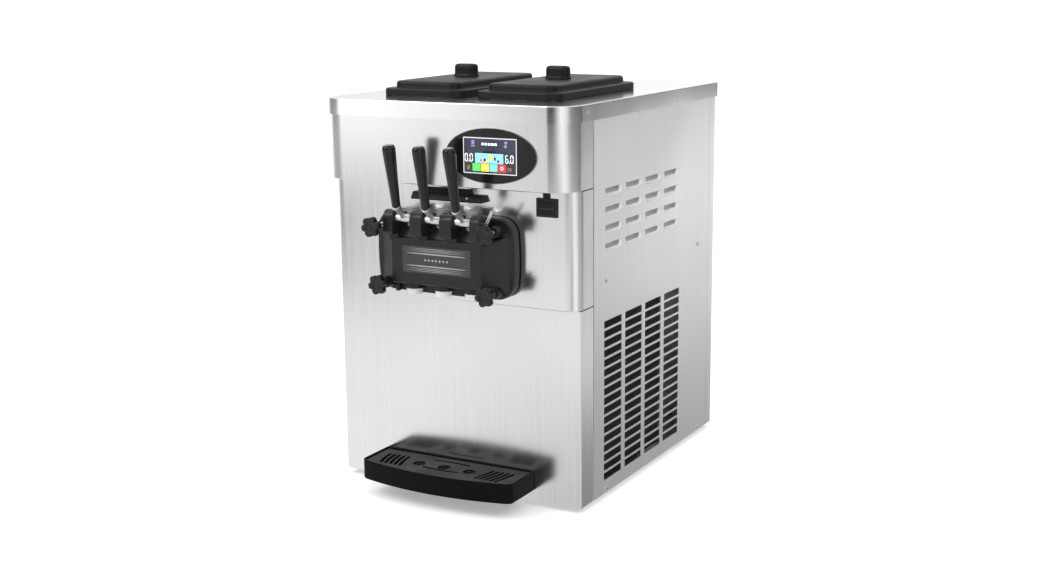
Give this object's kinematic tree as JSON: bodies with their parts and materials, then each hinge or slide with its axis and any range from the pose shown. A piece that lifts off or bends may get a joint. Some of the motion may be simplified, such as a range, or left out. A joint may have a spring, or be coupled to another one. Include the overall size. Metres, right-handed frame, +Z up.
{
  "type": "soft serve machine",
  "caption": "Table-top soft serve machine with two lidded hoppers, a black dispensing door with draw levers, a touchscreen and a drip tray.",
  "frame": {"origin": "on the floor below the middle of the bounding box, level with the soles of the feet", "axes": "+X to the right as seen by the person who draws the ice cream, +Y to the back, +Z up"},
  "size_m": [0.5496, 0.8069, 0.827],
  "materials": {
    "stainless": "vertical brushed",
    "galvanised": "zinc plated sheet",
    "black_delrin": "satin moulded",
    "black_matte": "fine textured",
    "grip_black": "polished",
    "polished_steel": "polished stainless",
    "valve_plastic": "frosted natural",
    "rubber_black": "matt",
    "seal_rubber": "matt food grade",
    "foam": "cut foam",
    "cast_alloy": "sand cast",
    "motor_paint": "hammered paint",
    "compressor_paint": "semi gloss",
    "copper": "drawn tube",
    "fin_alloy": "black coated fins",
    "bezel_gloss": "gloss",
    "screen": "lit display",
    "belt_rubber": "v belt",
    "screw_steel": "plated",
    "stud_steel": "black oxide thread"
  },
  "bodies": {
    "cabinet": {"base_pan": "galvanised", "rubber_feet": "rubber_black", "corner_posts": "galvanised", "mid_deck": "galvanised", "lower_front_panel": "stainless", "middle_front_panel": "stainless", "head_panel": "stainless", "top_cap": "stainless", "side_panel_right": "stainless", "side_panel_left": "stainless", "rear_cover": "stainless", "panel_screws": "screw_steel", "cable_gland": "black_matte", "hopper_left": "stainless", "hopper_right": "stainless", "feed_tubes": "valve_plastic", "freezing_cylinders": "polished_steel", "insulation_block": "foam", "cylinder_seals": "seal_rubber", "gearboxes": "cast_alloy", "drive_motor": "motor_paint", "drive_belts": "belt_rubber", "compressor": "compressor_paint", "condenser": "fin_alloy", "fan_shroud": "galvanised", "fan_motor": "motor_paint", "refrigerant_pipes": "copper", "control_box": "galvanised", "control_bezel": "bezel_gloss", "touchscreen": "screen", "dispense_door": "black_delrin", "door_studs": "stud_steel", "nozzle_caps": "valve_plastic", "splash_guard": "black_delrin", "badge": "bezel_gloss", "tray_bracket": "stainless"},
    "lever_left": {"lever_arm_left": "polished_steel", "lever_grip_left": "grip_black"},
    "plunger_left": {"draw_plunger_left": "valve_plastic"},
    "lever_middle": {"lever_arm_middle": "polished_steel", "lever_grip_middle": "grip_black"},
    "plunger_middle": {"draw_plunger_middle": "valve_plastic"},
    "lever_right": {"lever_arm_right": "polished_steel", "lever_grip_right": "grip_black"},
    "plunger_right": {"draw_plunger_right": "valve_plastic"},
    "pivot_rod": {"pivot_rod": "polished_steel"},
    "knob_top_left": {"star_knob_top_left": "black_delrin"},
    "knob_bottom_left": {"star_knob_bottom_left": "black_delrin"},
    "lid_left": {"hopper_lid_left": "black_matte"},
    "knob_top_right": {"star_knob_top_right": "black_delrin"},
    "knob_bottom_right": {"star_knob_bottom_right": "black_delrin"},
    "lid_right": {"hopper_lid_right": "black_matte"},
    "tray": {"drip_tray": "black_matte"},
    "grille": {"drip_grille": "black_matte"},
    "motor_rotor": {"motor_pulley": "cast_alloy"},
    "gear_wheel_left": {"gearbox_pulley_left": "cast_alloy"},
    "beater_left": {"beater_left": "polished_steel"},
    "gear_wheel_right": {"gearbox_pulley_right": "cast_alloy"},
    "beater_right": {"beater_right": "polished_steel"},
    "fan": {"condenser_fan": "black_matte"}
  },
  "joints": [
    {"name": "lever_left_pull", "type": "hinge", "parent": "cabinet", "child": "lever_left", "pos_m": [-0.065, -0.34355, 0.556], "axis": [1, 0, 0], "range_deg": [0, 45]},
    {"name": "plunger_left_lift", "type": "slide", "parent": "cabinet", "child": "plunger_left", "axis": [0, 0, 1], "range_m": [0, 0.0208]},
    {"name": "lever_middle_pull", "type": "hinge", "parent": "cabinet", "child": "lever_middle", "pos_m": [0, -0.34355, 0.556], "axis": [1, 0, 0], "range_deg": [0, 45]},
    {"name": "plunger_middle_lift", "type": "slide", "parent": "cabinet", "child": "plunger_middle", "axis": [0, 0, 1], "range_m": [0, 0.0208]},
    {"name": "lever_right_pull", "type": "hinge", "parent": "cabinet", "child": "lever_right", "pos_m": [0.065, -0.34355, 0.556], "axis": [1, 0, 0], "range_deg": [0, 45]},
    {"name": "plunger_right_lift", "type": "slide", "parent": "cabinet", "child": "plunger_right", "axis": [0, 0, 1], "range_m": [0, 0.0208]},
    {"name": "pivot_rod_draw", "type": "slide", "parent": "cabinet", "child": "pivot_rod", "axis": [1, 0, 0], "range_m": [0, 0.235]},
    {"name": "knob_top_left_turn", "type": "hinge", "parent": "cabinet", "child": "knob_top_left", "pos_m": [-0.12, -0.35855, 0.54], "axis": [0, 1, 0], "continuous": true},
    {"name": "knob_bottom_left_turn", "type": "hinge", "parent": "cabinet", "child": "knob_bottom_left", "pos_m": [-0.12, -0.35855, 0.426], "axis": [0, 1, 0], "continuous": true},
    {"name": "lid_left_lift", "type": "slide", "parent": "cabinet", "child": "lid_left", "axis": [0, 0, 1], "range_m": [0, 0.12]},
    {"name": "knob_top_right_turn", "type": "hinge", "parent": "cabinet", "child": "knob_top_right", "pos_m": [0.12, -0.35855, 0.54], "axis": [0, 1, 0], "continuous": true},
    {"name": "knob_bottom_right_turn", "type": "hinge", "parent": "cabinet", "child": "knob_bottom_right", "pos_m": [0.12, -0.35855, 0.426], "axis": [0, 1, 0], "continuous": true},
    {"name": "lid_right_lift", "type": "slide", "parent": "cabinet", "child": "lid_right", "axis": [0, 0, 1], "range_m": [0, 0.12]},
    {"name": "tray_pull", "type": "slide", "parent": "cabinet", "child": "tray", "axis": [0, -1, 0], "range_m": [0, 0.12]},
    {"name": "grille_lift", "type": "slide", "parent": "tray", "child": "grille", "axis": [0, 0, 1], "range_m": [0, 0.06]},
    {"name": "motor_spin", "type": "hinge", "parent": "cabinet", "child": "motor_rotor", "pos_m": [0, 0.14645, 0.162], "axis": [0, 1, 0], "continuous": true},
    {"name": "gear_wheel_left_spin", "type": "hinge", "parent": "cabinet", "child": "gear_wheel_left", "pos_m": [-0.065, 0.14645, 0.485], "axis": [0, 1, 0], "continuous": true},
    {"name": "beater_left_spin", "type": "hinge", "parent": "cabinet", "child": "beater_left", "pos_m": [-0.065, -0.11855, 0.485], "axis": [0, 1, 0], "continuous": true},
    {"name": "gear_wheel_right_spin", "type": "hinge", "parent": "cabinet", "child": "gear_wheel_right", "pos_m": [0.065, 0.14645, 0.485], "axis": [0, 1, 0], "continuous": true},
    {"name": "beater_right_spin", "type": "hinge", "parent": "cabinet", "child": "beater_right", "pos_m": [0.065, -0.11855, 0.485], "axis": [0, 1, 0], "continuous": true},
    {"name": "fan_spin", "type": "hinge", "parent": "cabinet", "child": "fan", "pos_m": [0.162, -0.03455, 0.199], "axis": [1, 0, 0], "continuous": true}
  ],
  "couplings": [
    {"joint": "plunger_left_lift", "follows": "lever_left_pull", "m_per_rad": 0.0264},
    {"joint": "plunger_middle_lift", "follows": "lever_middle_pull", "m_per_rad": 0.0264},
    {"joint": "plunger_right_lift", "follows": "lever_right_pull", "m_per_rad": 0.0264},
    {"joint": "gear_wheel_left_spin", "follows": "motor_spin", "ratio": 0.558},
    {"joint": "beater_left_spin", "follows": "motor_spin", "ratio": 0.062},
    {"joint": "gear_wheel_right_spin", "follows": "motor_spin", "ratio": 0.558},
    {"joint": "beater_right_spin", "follows": "motor_spin", "ratio": 0.062}
  ]
}
